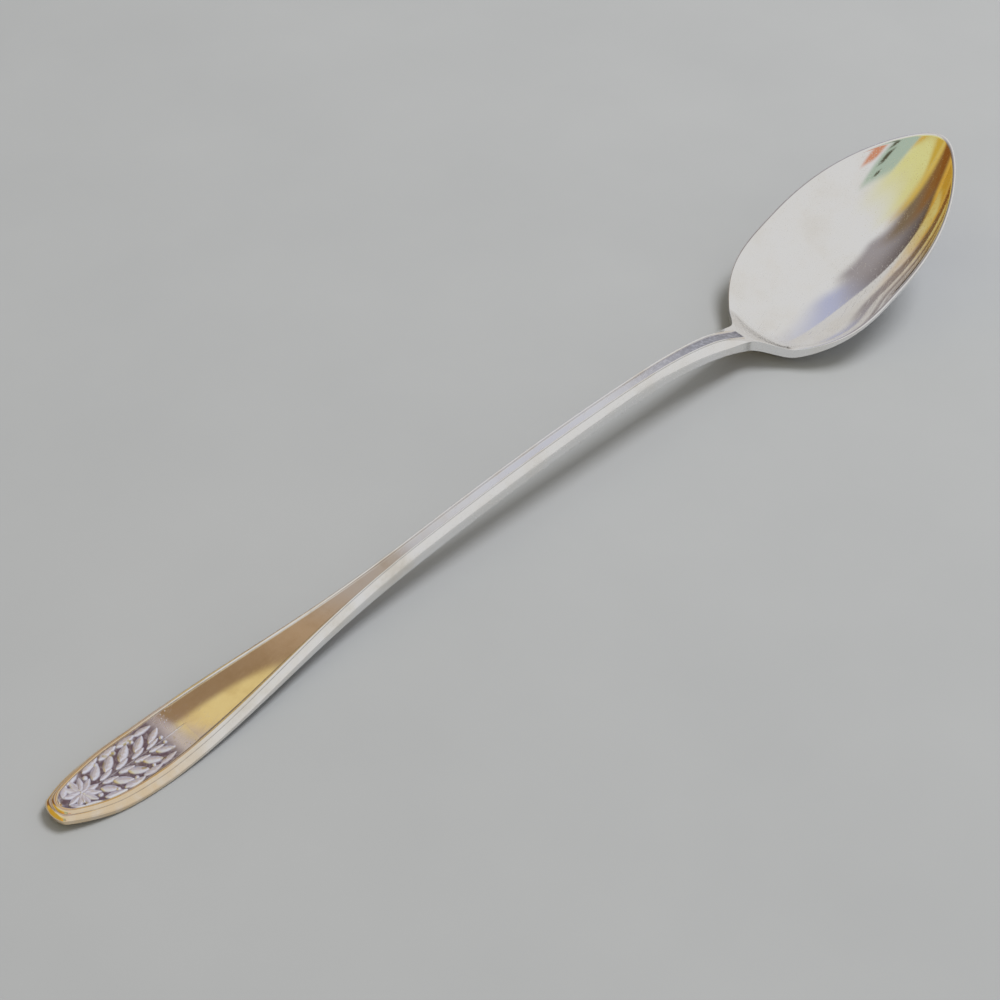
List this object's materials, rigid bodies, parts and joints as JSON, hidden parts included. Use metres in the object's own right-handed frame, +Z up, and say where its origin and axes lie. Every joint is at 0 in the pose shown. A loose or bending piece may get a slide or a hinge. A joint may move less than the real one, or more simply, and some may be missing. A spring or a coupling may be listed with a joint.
{
  "type": "iced tea spoon",
  "caption": "Long-handled spoon with a pointed egg-shaped bowl, an arched grooved handle and a flared, bordered end, for stirring and sipping from tall glasses.",
  "frame": {"origin": "the middle of the spoon's overall length and width, on the table it rests on", "axes": "+X along the handle towards the bowl's tip, +Y across the bowl, +Z up out of the bowl"},
  "size_m": [0.19, 0.0288, 0.0218],
  "materials": {
    "polished_silver": "polished, with fine wear scratches",
    "aged_silver": "polished on high points, tarnished in the recesses"
  },
  "bodies": {
    "root": {"bowl": "polished_silver", "neck": "polished_silver", "shank": "polished_silver", "blade": "aged_silver", "bead_border": "aged_silver"}
  },
  "joints": []
}
